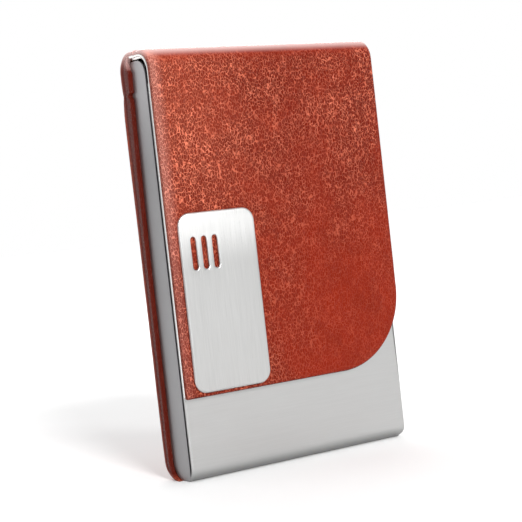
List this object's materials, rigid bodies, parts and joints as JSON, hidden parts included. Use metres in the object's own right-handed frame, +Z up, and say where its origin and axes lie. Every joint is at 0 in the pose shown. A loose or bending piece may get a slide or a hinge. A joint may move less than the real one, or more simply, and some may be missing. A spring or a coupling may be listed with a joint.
{
  "type": "business card case",
  "caption": "Upright pocket case for business cards: a slim steel pocket in a leather cover whose magnetic flap hinges over the top.",
  "frame": {"origin": "centre of the closed case's footprint, on the surface it stands on", "axes": "+X towards the right-hand side seen from the front, -Y out of the front face, +Z up towards the hinged top"},
  "size_m": [0.062, 0.0148, 0.097],
  "materials": {
    "steel": "fine brushed",
    "side_steel": "satin",
    "liner_steel": "polished",
    "badge_steel": "brushed, polished rim",
    "leather": "pebbled, glazed",
    "flock": "flocked",
    "board": "matte",
    "foam": "soft",
    "tape": "matte",
    "magnet": "nickel plated"
  },
  "bodies": {
    "case": {"front_plate": "steel", "back_plate": "steel", "side_wall_left": "side_steel", "side_wall_right": "side_steel", "front_lining": "flock", "back_lining": "flock", "panel_tape": "tape", "back_board": "board", "back_foam": "foam", "back_leather": "leather", "hinge_leather": "leather", "hinge_lining": "leather"},
    "flap": {"flap_liner": "liner_steel", "flap_board": "board", "spine_padding": "foam", "flap_leather": "leather", "magnet_upper": "magnet", "magnet_lower": "magnet", "badge_plate": "badge_steel", "badge_tape": "tape"}
  },
  "joints": [
    {"name": "flap_hinge", "type": "hinge", "parent": "case", "child": "flap", "pos_m": [0, 0.00735, 0.0872], "axis": [-1, 0, 0], "range_deg": [0, 160], "deforming": ["hinge_leather", "hinge_lining"]}
  ]
}
